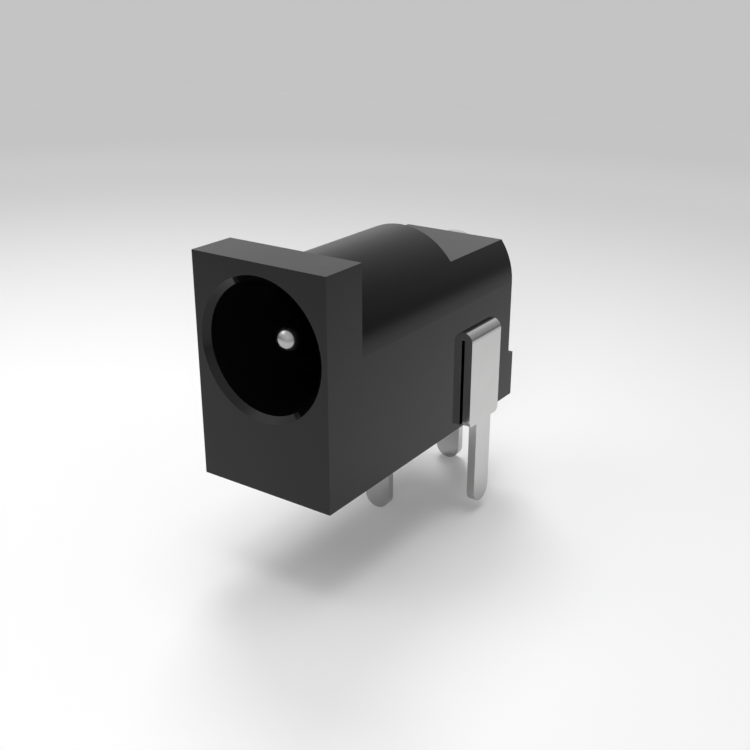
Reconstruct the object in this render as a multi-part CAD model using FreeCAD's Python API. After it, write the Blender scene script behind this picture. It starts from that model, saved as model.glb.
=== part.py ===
# DC barrel jack for a circuit board, all sizes in millimetres.
# Origin: middle of the front plate's face, at the underside of the housing. X is to the right seen from the
# front, Y runs back into the jack, Z is up. Five pieces: moulded housing, turned centre pin, and three
# contacts stamped from the same strip: rear terminal, sleeve contact and folded switch terminal.
import math
import os

import FreeCAD
import Part

V = FreeCAD.Vector

# Housing outside
plate_width = 7.5          # also the width of the body behind it
plate_height = 11.1
plate_depth = 2.55
body_length = 16.6         # front face to rear face
barrel_drop = 0.6          # barrel's crown below the plate's top edge
rear_height = 9.0          # flat top of the rear part
foot_depth = 0.5           # ribs that stand off the rear face
foot_height = 2.55
foot_gap = 2.7             # between the two ribs

# Plug socket
bore_diameter = 6.3
bore_axis_height = 7.05
bore_depth = 10.75
end_wall = 0.5             # between the bore's end and the place where the rear flat starts
mouth_chamfer = 0.3

# Centre pin
pin_diameter = 2.0
pin_set_back = 1.45        # nose behind the front face
nose_radius = 0.75
nose_taper = 20.0          # degrees from the axis, between the ball nose and the shaft
collar_diameter = 3.2
collar_length = 0.6
tail_diameter = 1.6
rivet_diameter = 2.6
rivet_height = 0.45

# Strip that the three contacts are stamped from
strip = 0.44
blade_width = 1.5          # the round-ended pins that go through the board
blade_length = 4.9         # below the housing, middle and rear pins
shoulder_height = 0.5      # where the wide part of a contact narrows to its pin
shoulder_radius = 0.3
bend_radius = 0.1          # inside radius of the sharp bends

# Rear terminal
eye_diameter = 3.9
neck_width = 2.4

# Sleeve contact
contact_front = 9.14       # front face of the contact's upright base
base_width = 4.8
base_height = 3.0
leaf_width = 1.8
leaf_bend_radius = 0.3
leaf_slope = 25.0          # degrees, from the bend up to the crest
crest_height = 4.55        # middle of the strip at the crest
crest_from_base = 2.0
leaf_reach = 3.75          # how far the leaf's end lies in front of the base
leaf_end_height = 3.95
crest_radius = 0.6
wiper_width = 0.8          # tail that rests on the switch tongue
wiper_offset = 1.5         # its middle, right of the centre line
wiper_length = 3.2

# Switch terminal on the right side
hairpin_centre = 12.1      # from the front face
hairpin_width = 3.0
hairpin_height = 5.67
hairpin_gap = 0.15
inner_leg_foot = 0.57      # lower end of the leg that lies on the housing
side_blade_length = 4.3
tongue_width = 1.4
tongue_top = 2.6
tongue_length = 2.45       # inside the right side wall's outer face
slit = 0.08                # cut on both sides of the tongue
lance_height = 2.4         # height of the hole that the tongue leaves

# Contact bay below the bore
bay_front = 9.0
bay_length = 4.4
bay_width = 4.0
bay_height = 3.3
well_length = 5.0          # hollow under the spring leaf
well_width = 3.0
well_floor = 2.0

# Clearances
hole_play = 0.02           # round the centre pin's tail
groove_play = 0.02         # round the sleeve contact's base
window_play = 0.05         # round the switch tongue

# Sizes that follow from those above
half_width = plate_width / 2
barrel_axis_height = plate_height - barrel_drop - half_width
bore_radius = bore_diameter / 2
flat_start = bore_depth + end_wall
contact_back = contact_front + strip
terminal_back = body_length + strip
outer_leg = half_width + strip + hairpin_gap


def block(x0, x1, y0, y1, z0, z1):
    """Box between two opposite corners."""
    return Part.makeBox(x1 - x0, y1 - y0, z1 - z0, V(x0, y0, z0))


def rod(diameter, height, y0, y1):
    """Round bar along Y on the centre line, its axis at the given height."""
    return Part.makeCylinder(diameter / 2, y1 - y0, V(0, y0, height), V(0, 1, 0))


def rounded_face(corners, radii):
    """Flat face inside a closed outline whose corners have their own radii, 0 for a sharp one."""
    edges = []
    ends = []
    for i, corner in enumerate(corners):
        back = (corners[i - 1] - corner).normalize()
        ahead = (corners[(i + 1) % len(corners)] - corner).normalize()
        half = back.getAngle(ahead) / 2
        reach = radii[i] / math.tan(half)
        ends.append((corner + back * reach, corner + ahead * reach))
        if radii[i] > 0:
            inward = (back + ahead).normalize()
            middle = corner + inward * (radii[i] / math.sin(half) - radii[i])
            edges.append(Part.Arc(ends[-1][0], middle, ends[-1][1]).toShape())
    for i, (start, finish) in enumerate(ends):
        previous = ends[i - 1][1]
        if previous.distanceToPoint(start) > 1e-5:
            edges.append(Part.makeLine(previous, start))
    return Part.Face(Part.Wire(Part.__sortEdges__(edges)))


def bent_strip(line, radii, normal, width_vector):
    """Strip bent along a line of points that its middle follows, each bend with its own inside radius."""
    sides = [[], []]
    rounds = [[], []]
    for i, point in enumerate(line):
        before = (line[i] - line[i - 1]).normalize() if i > 0 else (line[1] - line[0]).normalize()
        after = (line[i + 1] - line[i]).normalize() if i < len(line) - 1 else before
        left_before = normal.cross(before)
        left_after = normal.cross(after)
        shift = (left_before + left_after) * (strip / 2 / (1 + left_before.dot(left_after)))
        turn = normal.dot(before.cross(after))
        inner = radii[i]
        for side, sign in enumerate((1, -1)):
            sides[side].append(point + shift * sign)
            if abs(turn) < 1e-6:
                rounds[side].append(0)
            else:
                rounds[side].append(inner if turn * sign > 0 else inner + strip)
    face = rounded_face(sides[0] + sides[1][::-1], rounds[0] + rounds[1][::-1])
    return face.extrude(width_vector)


def blade(wide, top, tip):
    """Flat pin standing across the jack: wide above its rounded shoulders, narrow and round-ended below.

    Its front face lies in the plane y = 0 and its middle at x = 0.
    """
    shoulder = shoulder_height
    half = blade_width / 2
    right = [V(wide / 2, 0, top), V(wide / 2, 0, shoulder), V(half, 0, shoulder), V(half, 0, tip)]
    left = [V(-p.x, 0, p.z) for p in right[::-1]]
    corner = min(shoulder_radius, (wide - blade_width) / 4)
    radii = [0, corner, 0, half]
    return rounded_face(right + left, radii + radii[::-1]).extrude(V(0, strip, 0))


def make_housing():
    """One moulding: front plate, half-round barrel on flat sides, low rear part, two ribs as rear feet."""
    shape = block(-half_width, half_width, 0, body_length, 0, barrel_axis_height)
    shape = shape.fuse(rod(2 * half_width, barrel_axis_height, 0, body_length))
    shape = shape.cut(block(-plate_width, plate_width, flat_start, 2 * body_length, rear_height, 2 * plate_height))
    shape = shape.fuse(block(-half_width, half_width, 0, plate_depth, 0, plate_height))
    for x0, x1 in ((-half_width, -foot_gap / 2), (foot_gap / 2, half_width)):
        shape = shape.fuse(block(x0, x1, body_length - 1, body_length + foot_depth, 0, foot_height))
    shape = shape.removeSplitter()

    # Bore with the chamfer round its mouth, and the hole for the centre pin's tail.
    shape = shape.cut(rod(bore_diameter, bore_axis_height, -1, bore_depth))
    shape = shape.cut(Part.makeCone(bore_radius + 2 * mouth_chamfer, bore_radius, 2 * mouth_chamfer,
                                    V(0, -mouth_chamfer, bore_axis_height), V(0, 1, 0)))
    shape = shape.cut(rod(tail_diameter + 2 * hole_play, bore_axis_height, bore_depth - 1, body_length + 1))

    # Bay that is open below, the well under the spring leaf, and the grooves that hold the contact's base.
    shape = shape.cut(block(-bay_width / 2, bay_width / 2, bay_front, bay_front + bay_length, -1, bay_height))
    well_back = contact_back + groove_play
    shape = shape.cut(block(-well_width / 2, well_width / 2, well_back - well_length, well_back,
                            well_floor, bore_axis_height - bore_radius / 2))
    groove = base_width / 2 + groove_play
    shape = shape.cut(block(-groove, groove, contact_front - groove_play, well_back, -1, bay_height))

    # Window in the right wall for the switch tongue.
    wide = tongue_width / 2 + window_play
    shape = shape.cut(block(0, plate_width, hairpin_centre - wide, hairpin_centre + wide,
                            tongue_top - strip - bend_radius - window_play, tongue_top + window_play))
    return shape.removeSplitter()


def make_centre_pin():
    """Turned pin: ball nose, taper, shaft, collar on the bore's end wall, tail, domed head staked behind."""
    radius = pin_diameter / 2
    centre = pin_set_back + nose_radius
    seat = bore_depth - collar_length
    axis = V(0, 0, bore_axis_height)
    shape = Part.makeSphere(nose_radius, axis + V(0, centre, 0))

    # The taper leaves the ball where both have the same slope.
    taper = math.radians(nose_taper)
    small = nose_radius * math.cos(taper)
    start = centre - nose_radius * math.sin(taper)
    length = (radius - small) / math.tan(taper)
    shape = shape.fuse(Part.makeCone(small, radius, length, axis + V(0, start, 0), V(0, 1, 0)))
    shape = shape.fuse(rod(pin_diameter, bore_axis_height, start + length, seat + collar_length / 2))
    shape = shape.fuse(rod(collar_diameter, bore_axis_height, seat, bore_depth))
    shape = shape.fuse(rod(tail_diameter, bore_axis_height, seat, terminal_back + rivet_height / 2))

    # The head is a cap of a large ball.
    rim = rivet_diameter / 2
    ball = (rim ** 2 + rivet_height ** 2) / (2 * rivet_height)
    head = Part.makeSphere(ball, axis + V(0, terminal_back + rivet_height - ball, 0))
    head = head.common(rod(2 * rivet_diameter, bore_axis_height, terminal_back, terminal_back + 2 * rivet_height))
    return shape.fuse(head).removeSplitter()


def make_rear_terminal():
    """Strip flat on the rear face: round eye over the centre pin's tail, neck, shoulders, round-ended pin."""
    shape = blade(neck_width, bore_axis_height, -blade_length)
    shape.translate(V(0, body_length, 0))
    shape = shape.fuse(rod(eye_diameter, bore_axis_height, body_length, terminal_back))
    shape = shape.cut(rod(tail_diameter, bore_axis_height, body_length - 1, terminal_back + 1))
    return shape.removeSplitter()


def make_sleeve_contact():
    """Upright base in the grooves, pin below it, spring leaf forward into the bore, wiper tail backward."""
    middle = contact_front + strip / 2
    shape = blade(base_width, base_height, -blade_length)
    shape.translate(V(0, contact_front, 0))

    # The corner of the base beside the leaf is gone, so that the wiper's bend has room.
    bend_start = tongue_top - bend_radius
    shape = shape.cut(block(leaf_width / 2, base_width, contact_front - 1, contact_back + 1,
                            bend_start, base_height + 1))

    # Leaf: up, forward and up the slope to the crest, then down to its end inside the bore.
    left = -leaf_width / 2
    turn_height = crest_height - crest_from_base * math.tan(math.radians(leaf_slope))
    line = [V(left, middle, base_height - 1), V(left, middle, turn_height),
            V(left, middle - crest_from_base, crest_height), V(left, middle - leaf_reach, leaf_end_height)]
    shape = shape.fuse(bent_strip(line, [0, leaf_bend_radius, crest_radius, 0], V(1, 0, 0), V(leaf_width, 0, 0)))

    # Wiper: up and back over the switch tongue.
    left = wiper_offset - wiper_width / 2
    level = tongue_top + strip / 2
    line = [V(left, middle, shoulder_height + 1), V(left, middle, level),
            V(left, contact_back + wiper_length, level)]
    shape = shape.fuse(bent_strip(line, [0, bend_radius, 0], V(1, 0, 0), V(wiper_width, 0, 0)))
    return shape.removeSplitter()


def make_switch_terminal():
    """Hairpin on the right side: inner leg with the lanced tongue, outer leg that narrows to the pin."""
    inner = half_width + strip / 2
    outer = outer_leg + strip / 2
    front = hairpin_centre - hairpin_width / 2
    crown = hairpin_height - strip / 2
    low = shoulder_height + 2 * shoulder_radius
    line = [V(inner, front, inner_leg_foot), V(inner, front, crown), V(outer, front, crown), V(outer, front, low)]
    shape = bent_strip(line, [0, hairpin_gap / 2, hairpin_gap / 2, 0], V(0, 1, 0), V(0, hairpin_width, 0))

    pin = blade(hairpin_width, 2 * low, -side_blade_length)
    pin.rotate(V(0, 0, 0), V(0, 0, 1), 90)
    pin.translate(V(outer_leg + strip, hairpin_centre, 0))
    shape = shape.fuse(pin)

    # Hole that the tongue was lanced out of, with a slit down both of its sides, then the tongue itself.
    side = tongue_width / 2
    foot = tongue_top - strip - bend_radius
    shape = shape.cut(block(half_width - 1, outer_leg - hairpin_gap / 2, hairpin_centre - side - slit,
                            hairpin_centre + side + slit, foot, tongue_top + lance_height))
    start = hairpin_centre - side
    level = tongue_top - strip / 2
    line = [V(inner, start, foot - strip), V(inner, start, level), V(half_width - tongue_length, start, level)]
    shape = shape.fuse(bent_strip(line, [0, bend_radius, 0], V(0, 1, 0), V(0, tongue_width, 0)))
    return shape.removeSplitter()


os.makedirs("parts", exist_ok=True)
for name, make in (("housing", make_housing), ("centre_pin", make_centre_pin),
                   ("rear_terminal", make_rear_terminal), ("sleeve_contact", make_sleeve_contact),
                   ("switch_terminal", make_switch_terminal)):
    make().exportStep("parts/" + name + ".step")
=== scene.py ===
import bpy
import numpy as np
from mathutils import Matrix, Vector


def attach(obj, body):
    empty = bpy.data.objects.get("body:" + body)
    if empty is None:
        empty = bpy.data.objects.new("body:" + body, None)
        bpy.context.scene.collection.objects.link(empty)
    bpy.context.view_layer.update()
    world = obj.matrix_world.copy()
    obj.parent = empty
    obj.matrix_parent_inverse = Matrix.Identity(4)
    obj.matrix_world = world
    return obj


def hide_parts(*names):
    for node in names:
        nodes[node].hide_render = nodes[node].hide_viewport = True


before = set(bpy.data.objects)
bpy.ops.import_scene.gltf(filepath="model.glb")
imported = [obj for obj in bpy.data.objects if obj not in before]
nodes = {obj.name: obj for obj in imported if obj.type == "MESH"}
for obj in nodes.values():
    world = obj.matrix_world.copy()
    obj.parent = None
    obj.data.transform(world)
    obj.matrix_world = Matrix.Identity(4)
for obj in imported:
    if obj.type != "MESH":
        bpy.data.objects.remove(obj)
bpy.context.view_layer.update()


# Housing. One injection moulding in black glass-filled nylon. The core that shaped the bore and its mouth was
# polished, and the outer walls carry the fine matt grain of a spark-eroded cavity.

mm = 0.001
bore_axis_height = 7.05 * mm
mouth_polish_reach = 3.47 * mm
nylon_black = (0.0018, 0.0018, 0.0019)
nylon_ior = 1.358
polished_roughness = 0.06
grained_roughness = 0.28
mottle_scale = 700
mottle_detail = 3.0
mottle_swing = 0.006
grain_scale = 9000
grain_strength = 0.07
grain_depth = 0.004 * mm
noise_low = 0.3
noise_high = 0.7


def link(tree, pairs):
    """Joins pairs of sockets, each from the first to the second."""
    for start, end in pairs:
        tree.links.new(start, end)


def maths(tree, operation, first, second=None):
    """Math node on sockets or plain numbers; gives its output socket."""
    node = tree.nodes.new("ShaderNodeMath")
    node.operation = operation
    for socket, value in zip(node.inputs, (first, second)):
        if isinstance(value, (int, float)):
            socket.default_value = value
        elif value is not None:
            tree.links.new(value, socket)
    return node.outputs[0]


def remap(tree, value, low, high, new_low, new_high):
    """Map Range node that carries low..high smoothly over to new_low..new_high; gives its output socket."""
    node = tree.nodes.new("ShaderNodeMapRange")
    node.interpolation_type = "SMOOTHSTEP"
    for name, number in (("From Min", low), ("From Max", high), ("To Min", new_low), ("To Max", new_high)):
        node.inputs[name].default_value = number
    tree.links.new(value, node.inputs["Value"])
    return node.outputs["Result"]


def noise(tree, vector, scale, detail=2.0):
    """Noise node on the given vector; gives its factor socket."""
    node = tree.nodes.new("ShaderNodeTexNoise")
    node.inputs["Scale"].default_value = scale
    node.inputs["Detail"].default_value = detail
    tree.links.new(vector, node.inputs["Vector"])
    return node.outputs["Fac"]


def uneven(tree, factor, low, high):
    """Carries the span that a noise factor mostly has over to low..high."""
    return remap(tree, factor, noise_low, noise_high, low, high)


def object_place(tree):
    """Place in the part's own frame, as a socket."""
    return tree.nodes.new("ShaderNodeTexCoord").outputs["Object"]


def axes(tree, vector):
    """The vector's X, Y and Z, as sockets by name."""
    split = tree.nodes.new("ShaderNodeSeparateXYZ")
    tree.links.new(vector, split.inputs[0])
    return split.outputs


def new_material(name, colour, roughness, metallic, ior):
    """Material with one Principled shader; gives the material, its tree and the shader."""
    material = bpy.data.materials.new(name)
    material.use_nodes = True
    shader = material.node_tree.nodes["Principled BSDF"]
    shader.inputs["Base Color"].default_value = (*colour, 1)
    shader.inputs["Roughness"].default_value = roughness
    shader.inputs["Metallic"].default_value = metallic
    shader.inputs["IOR"].default_value = ior
    return material, material.node_tree, shader


def emboss(tree, shader, height, strength, depth):
    """Bump node that raises the shader's surface by the height socket."""
    bump = tree.nodes.new("ShaderNodeBump")
    bump.inputs["Strength"].default_value = strength
    bump.inputs["Distance"].default_value = depth
    link(tree, ((height, bump.inputs["Height"]), (bump.outputs["Normal"], shader.inputs["Normal"])))


nylon, tree, shader = new_material("black_plastic", nylon_black, grained_roughness, metallic=0, ior=nylon_ior)
place = object_place(tree)
along = axes(tree, place)

# Polished on the mouth's 45 degree cone, where the distances from the bore's axis and from the front add up
# to less than the reach.
above_axis = maths(tree, "SUBTRACT", along["Z"], bore_axis_height)
across = maths(tree, "POWER", along["X"], 2.0)
from_axis = maths(tree, "SQRT", maths(tree, "ADD", across, maths(tree, "POWER", above_axis, 2.0)))
grained = maths(tree, "GREATER_THAN", maths(tree, "ADD", from_axis, along["Y"]), mouth_polish_reach)

mottle = uneven(tree, noise(tree, place, mottle_scale, mottle_detail),
                grained_roughness - mottle_swing, grained_roughness + mottle_swing)
rougher = maths(tree, "MULTIPLY", maths(tree, "SUBTRACT", mottle, polished_roughness), grained)
tree.links.new(maths(tree, "ADD", rougher, polished_roughness), shader.inputs["Roughness"])
grain = maths(tree, "MULTIPLY", noise(tree, place, grain_scale), grained)
emboss(tree, shader, grain, grain_strength, grain_depth)

housing = nodes["housing"]
housing.data.materials.clear()
housing.data.materials.append(nylon)


# Centre pin. Turned from brass rod and nickel plated: ball nose, slight taper, shaft, a collar that seats on
# the bore's end wall, and a thin tail whose end is staked into a dome behind the rear terminal's eye.

pin_radius = 1.0 * mm
pin_set_back = 1.45 * mm
nose_radius = 0.75 * mm
nose_taper = np.radians(20.0)
bore_depth = 10.75 * mm
collar_radius = 1.6 * mm
collar_length = 0.6 * mm
tail_radius = 0.8 * mm
body_length = 16.6 * mm
strip = 0.44 * mm
rivet_radius = 1.3 * mm
rivet_height = 0.45 * mm
turned_edge = 0.06 * mm
nose_steps = 20
edge_steps = 6
head_steps = 14
pin_sides = 96
sharp_angle = np.radians(40)

pin_tone = (0.42, 0.42, 0.417)
pin_roughness = 0.16
pin_lines = (2000, 22000, 2000)
cloud_scale = 900
cloud_tone = 0.97
cloud_roughness = 0.1
line_roughness = 0.15
line_strength = 0.1
line_depth = 0.002 * mm
foot_shade_height = -5.0 * mm


def arc(centre, radius, start, end, count):
    """Points on a circle: centre + radius * (cos a, sin a) for the angles a between start and end."""
    angle = np.linspace(start, end, count)
    return np.asarray(centre) + radius * np.stack([np.cos(angle), np.sin(angle)], 1)


def piece(name, points, faces):
    """Mesh object at the origin from arrays of points and faces, shaded smooth."""
    mesh = bpy.data.meshes.new(name)
    mesh.from_pydata(points.tolist(), [], faces)
    mesh.shade_smooth()
    thing = bpy.data.objects.new(name, mesh)
    bpy.context.scene.collection.objects.link(thing)
    return thing


def turned(name, profile, height, count):
    """Surface of revolution about an axis along Y at the given height.

    The profile holds (y, r) pairs that start and end with r = 0. A point is (r sin t, y, height + r cos t).
    """
    rings = profile[1:-1]
    angle = np.linspace(0, 2 * np.pi, count, endpoint=False)
    radius = rings[:, 1:]
    along = np.broadcast_to(rings[:, :1], (len(rings), count))
    body = np.stack([radius * np.sin(angle), along, height + radius * np.cos(angle)], 2).reshape(-1, 3)
    poles = np.array([[0, profile[0, 0], height], [0, profile[-1, 0], height]])
    start = np.arange(len(rings) - 1)[:, None] * count
    here = np.arange(count)[None, :]
    after = (here + 1) % count
    walls = np.stack([start + here, start + after, start + count + after, start + count + here], 2)
    last = (len(rings) - 1) * count
    first_fan = np.stack([np.full(count, len(body)), after[0], here[0]], 1)
    last_fan = np.stack([np.full(count, len(body) + 1), last + here[0], last + after[0]], 1)
    faces = walls.reshape(-1, 4).tolist() + first_fan.tolist() + last_fan.tolist()
    return piece(name, np.concatenate([body, poles]), faces)


right_angle = np.pi / 2
nose_centre = pin_set_back + nose_radius
taper_start = nose_centre - nose_radius * np.sin(nose_taper)
taper_length = (pin_radius - nose_radius * np.cos(nose_taper)) / np.tan(nose_taper)
collar_front = bore_depth - collar_length
head_base = body_length + strip
head_ball = (rivet_radius ** 2 + rivet_height ** 2) / (2 * rivet_height)
head_angle = np.arcsin(rivet_radius / head_ball)
nose = arc((nose_centre, 0), nose_radius, np.pi, right_angle + nose_taper, nose_steps)
collar_corner = (collar_front + turned_edge, collar_radius - turned_edge)
collar_edge = arc(collar_corner, turned_edge, np.pi, right_angle, edge_steps)
head = arc((head_base + rivet_height - head_ball, 0), head_ball, head_angle, 0, head_steps)
profile = np.concatenate([
    nose,
    [[taper_start + taper_length, pin_radius], [collar_front, pin_radius]],
    collar_edge,
    [[bore_depth, collar_radius], [bore_depth, tail_radius]],
    [[head_base, tail_radius], [head_base, rivet_radius]],
    head[1:],
])
profile[[0, -1], 1] = 0
centre_pin = turned("pin_turned", profile, bore_axis_height, pin_sides)
centre_pin.data.set_sharp_from_angle(angle=sharp_angle)


def scaled(tree, vector, factor):
    """The vector or colour times the factor, as a socket."""
    node = tree.nodes.new("ShaderNodeVectorMath")
    node.operation = "SCALE"
    link(tree, ((vector, node.inputs[0]), (factor, node.inputs["Scale"])))
    return node.outputs["Vector"]


# Plating, shared by the pin and the strip: fine lines along the way the metal was worked, a soft cloudiness,
# and a darker tone toward the lower ends, which is painted shade where the pins come down to the floor.
plating = bpy.data.node_groups.new("plated_finish", "ShaderNodeTree")
for name, kind in (("Tone", "NodeSocketColor"), ("Lines", "NodeSocketVector"),
                   ("Roughness", "NodeSocketFloat"), ("Foot Shade Height", "NodeSocketFloat"),
                   ("Foot Shade Tone", "NodeSocketFloat")):
    plating.interface.new_socket(name=name, in_out="INPUT", socket_type=kind)
for name, kind in (("Colour", "NodeSocketColor"), ("Roughness", "NodeSocketFloat"),
                   ("Height", "NodeSocketFloat")):
    plating.interface.new_socket(name=name, in_out="OUTPUT", socket_type=kind)
given = plating.nodes.new("NodeGroupInput").outputs
result = plating.nodes.new("NodeGroupOutput").inputs
place = object_place(plating)
along = axes(plating, place)
drawn = plating.nodes.new("ShaderNodeVectorMath")
drawn.operation = "MULTIPLY"
link(plating, ((place, drawn.inputs[0]), (given["Lines"], drawn.inputs[1])))
lines = noise(plating, drawn.outputs["Vector"], 1.0)
cloud = noise(plating, place, cloud_scale)
# Painted shade: the tone darkens toward the lower ends, near the floor.
foot_shade = remap(plating, maths(plating, "DIVIDE", along["Z"], given["Foot Shade Height"]), 0.0, 1.0, 0.0, 1.0)
foot_shading = maths(plating, "SUBTRACT", 1.0, maths(plating, "MULTIPLY", foot_shade, given["Foot Shade Tone"]))
brightness = maths(plating, "MULTIPLY", foot_shading, uneven(plating, cloud, cloud_tone, 1.0))
lined = uneven(plating, lines, 1.0 - line_roughness, 1.0 + line_roughness)
clouded = uneven(plating, cloud, -cloud_roughness, cloud_roughness)
duller = maths(plating, "ADD", lined, clouded)
link(plating, ((scaled(plating, given["Tone"], brightness), result["Colour"]),
               (maths(plating, "MULTIPLY", duller, given["Roughness"]), result["Roughness"]),
               (lines, result["Height"])))


def plated_material(name, tone, roughness, lines, foot_shade_tone):
    """Metal that takes its colour, roughness and relief from the shared plating finish."""
    material, tree, shader = new_material(name, tone, roughness, metallic=1, ior=1.5)
    finish = tree.nodes.new("ShaderNodeGroup")
    finish.node_tree = plating
    finish.inputs["Tone"].default_value = (*tone, 1)
    finish.inputs["Lines"].default_value = lines
    finish.inputs["Roughness"].default_value = roughness
    finish.inputs["Foot Shade Height"].default_value = foot_shade_height
    finish.inputs["Foot Shade Tone"].default_value = foot_shade_tone
    link(tree, ((finish.outputs["Colour"], shader.inputs["Base Color"]),
                (finish.outputs["Roughness"], shader.inputs["Roughness"])))
    emboss(tree, shader, finish.outputs["Height"], line_strength, line_depth)
    return material


pin_metal = plated_material("pin_plating", pin_tone, pin_roughness, pin_lines, foot_shade_tone=0.0)
centre_pin.data.materials.append(pin_metal)
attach(centre_pin, "root")
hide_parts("centre_pin")


# Terminals. Rear terminal, sleeve contact and folded switch terminal are stamped from the same strip, bent,
# and plated after forming. The strip's rolling lines run up and down the pins.

strip_tone = (0.59, 0.59, 0.587)
strip_roughness = 0.15
strip_lines = (14000, 14000, 500)
# How much painted shade darkens the strip's lower ends near the floor.
strip_foot_shade = 0.25
housing_side = 3.75 * mm
fold_gap = 0.15 * mm
fold_margin = 0.01 * mm
fold_low = 0.57 * mm
fold_high = 5.24 * mm

strip_metal = plated_material("terminal_plating", strip_tone, strip_roughness, strip_lines, strip_foot_shade)

# Painted shade: the two faces inside the switch terminal's fold are painted black, for the shade between its
# legs.
# There the metal turns into a black that mirrors nothing, which takes an IOR of 1.
tree = strip_metal.node_tree
shader = tree.nodes["Principled BSDF"]
along = axes(tree, object_place(tree))
from_fold = maths(tree, "SUBTRACT", along["X"], housing_side + strip + fold_gap / 2)
beside = maths(tree, "GREATER_THAN", maths(tree, "ABSOLUTE", from_fold), fold_gap / 2 + fold_margin)
from_middle = maths(tree, "SUBTRACT", along["Z"], (fold_low + fold_high) / 2)
past_end = maths(tree, "GREATER_THAN", maths(tree, "ABSOLUTE", from_middle), (fold_high - fold_low) / 2)
# Mask that is 0 on the painted shade inside the fold and 1 everywhere else.
outside_fold_shade = maths(tree, "MAXIMUM", beside, past_end)
plated_tone = shader.inputs["Base Color"].links[0].from_socket
link(tree, ((scaled(tree, plated_tone, outside_fold_shade), shader.inputs["Base Color"]),
            (outside_fold_shade, shader.inputs["Metallic"])))
shader.inputs["IOR"].default_value = 1

for name in ("rear_terminal", "sleeve_contact", "switch_terminal"):
    terminal = nodes[name]
    terminal.data.materials.clear()
    terminal.data.materials.append(strip_metal)

# The black wall shows no mirror image of the folded strip that stands against it.
nodes["switch_terminal"].visible_glossy = False


# Floor. A matt white card that the pins stand on, with a painted pool of light: whiter round the jack than
# further out, where it takes the tone of the backdrop.

pin_tip_height = -4.9 * mm
floor_reach = 0.15
light_pool_centre = (-0.0138, -0.0032, pin_tip_height)
near_tone = 1.056
middle_tone = 0.591
far_tone = 0.546
middle_distance = 0.098
far_distance = 0.129

card, tree, shader = new_material("floor_card", (1, 1, 1), roughness=1, metallic=0, ior=1.5)
shader.inputs["Specular IOR Level"].default_value = 0
away = tree.nodes.new("ShaderNodeVectorMath")
away.operation = "DISTANCE"
away.inputs[1].default_value = light_pool_centre
tree.links.new(object_place(tree), away.inputs[0])

# The painted pool of light falls in two steps, and where it would be more than white it is white.
inner = remap(tree, away.outputs["Value"], 0.0, middle_distance, near_tone, middle_tone)
outer = remap(tree, away.outputs["Value"], middle_distance, far_distance, 0.0, middle_tone - far_tone)
shade = maths(tree, "MINIMUM", maths(tree, "SUBTRACT", inner, outer), 1.0)
tree.links.new(shade, shader.inputs["Base Color"])
square = np.array([[-1, -1], [1, -1], [1, 1], [-1, 1]]) * floor_reach
corners = np.concatenate([square, np.full((4, 1), pin_tip_height)], 1)
floor = piece("floor", corners, [(0, 1, 2, 3)])
floor.data.materials.append(card)


# Studio light. A low even light and four soft lamps far away light the floor and shape the shadow. Glossy
# surfaces see a plain sky instead, with paler areas behind the jack, on its left and behind the camera.

ambient = 0.32
sky_seen = 0.55

# The azimuth and elevation of each paler area in degrees, its brightness, and how fast it fades outwards.
pale_areas = [
    (-45, 12, 0.36, 10),
    (-5, 12, 1.1, 10),
    (0, 38, 0.08, 10),
    (36, 16, 0.13, 30),
    (-62, 18, 0.70, 20),
    (-90, 22, 0.19, 10),
    (-120, 45, 1.13, 8),
    (-145, 38, 1.8, 120),
    (165, 20, 0.84, 2),
]

# The azimuth, elevation and half width of each lamp in degrees, and its share of the light on the floor.
lamps = [
    ("window", -41.5, 52.0, 11.2, 0.223),
    ("ceiling", 6.0, 89.0, 18.3, 0.274),
    ("side", -126.0, 46.0, 16.0, 0.055),
    ("low", 149.0, 10.0, 20.0, 0.129),
]


def heading(azimuth, elevation):
    """Unit vector for an azimuth in degrees from +Y toward +X and an elevation in degrees."""
    turn, rise = np.radians([azimuth, elevation])
    return np.array([np.cos(rise) * np.sin(turn), np.cos(rise) * np.cos(turn), np.sin(rise)])


def toward(tree, direction):
    """Cosine between the looked-at direction and a fixed one, as a socket."""
    node = tree.nodes.new("ShaderNodeVectorMath")
    node.operation = "DOT_PRODUCT"
    node.inputs[1].default_value = direction
    tree.links.new(tree.nodes.new("ShaderNodeTexCoord").outputs["Generated"], node.inputs[0])
    return node.outputs["Value"]


world = bpy.data.worlds.new("studio")
bpy.context.scene.world = world
world.use_nodes = True
tree = world.node_tree

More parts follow.
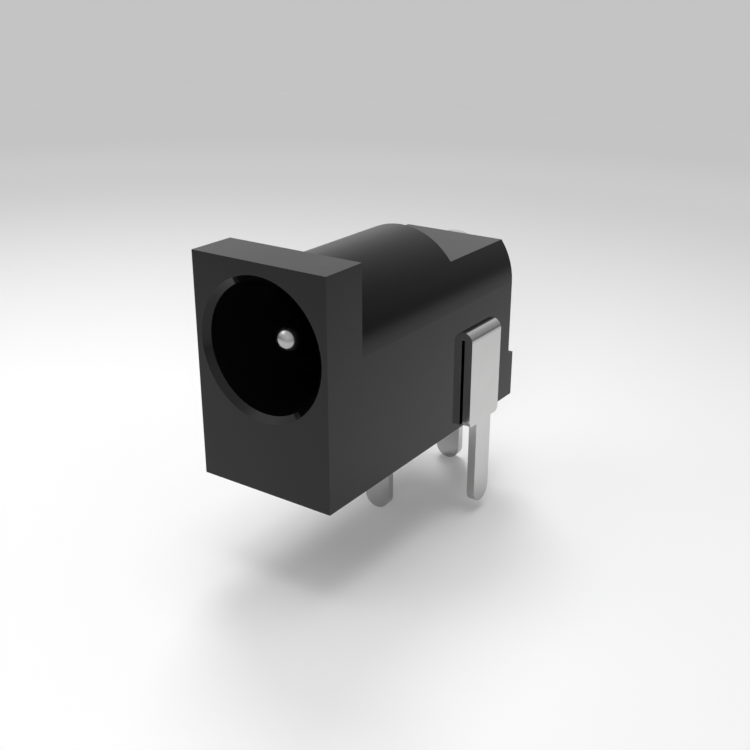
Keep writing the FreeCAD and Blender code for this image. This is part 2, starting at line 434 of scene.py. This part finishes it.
# The paler areas are only for mirror images, so the sky isn't sampled as a lamp. An area's light is its
# brightness times e to the power of sharpness times (cosine - 1).
world.cycles.sampling_method = "NONE"
mirrored = 0.0
for azimuth, elevation, brightness, sharpness in pale_areas:
    fall = maths(tree, "SUBTRACT", toward(tree, heading(azimuth, elevation)), 1.0)
    area = maths(tree, "EXPONENT", maths(tree, "MULTIPLY", fall, sharpness))
    mirrored = maths(tree, "ADD", mirrored, maths(tree, "MULTIPLY", area, brightness))

ray = tree.nodes.new("ShaderNodeLightPath").outputs
glossy_mix = tree.nodes.new("ShaderNodeMix")
glossy_mix.inputs["A"].default_value = ambient
camera_mix = tree.nodes.new("ShaderNodeMix")
camera_mix.inputs["B"].default_value = sky_seen
link(tree, ((ray["Is Glossy Ray"], glossy_mix.inputs["Factor"]),
            (mirrored, glossy_mix.inputs["B"]),
            (ray["Is Camera Ray"], camera_mix.inputs["Factor"]),
            (glossy_mix.outputs["Result"], camera_mix.inputs["A"]),
            (camera_mix.outputs["Result"], tree.nodes["Background"].inputs["Color"])))

for name, azimuth, elevation, half_width, share in lamps:
    light = bpy.data.lights.new(name, "SUN")
    light.angle = np.radians(2 * half_width)
    light.energy = share * np.pi / np.sin(np.radians(elevation))
    lamp = bpy.data.objects.new(name, light)
    lamp.rotation_mode = "QUATERNION"
    lamp.rotation_quaternion = Vector(heading(azimuth, elevation)).to_track_quat("Z", "Y")
    lamp.visible_glossy = name == "window"
    bpy.context.scene.collection.objects.link(lamp)


# Camera. A normal lens in front of the jack, above it and to its right, at the photograph's viewing angle.
# The picture is square, so the film is as high as it is wide.

camera_place = (0.0287316, -0.0325097, 0.0233503)
camera_aim = (-0.52820, 0.76190, -0.37484)
focal_length = 50.173
film_width = 36
nearest_seen = 1.0 * mm
furthest_seen = 10

camera_data = bpy.data.cameras.new("camera")
camera_data.lens = focal_length
camera_data.sensor_width = film_width
camera_data.clip_start = nearest_seen
camera_data.clip_end = furthest_seen
camera = bpy.data.objects.new("camera", camera_data)
camera.location = camera_place
camera.rotation_mode = "QUATERNION"
camera.rotation_quaternion = Vector(camera_aim).to_track_quat("-Z", "Y")
bpy.context.scene.collection.objects.link(camera)
bpy.context.scene.camera = camera
bpy.context.scene.view_settings.view_transform = "Standard"
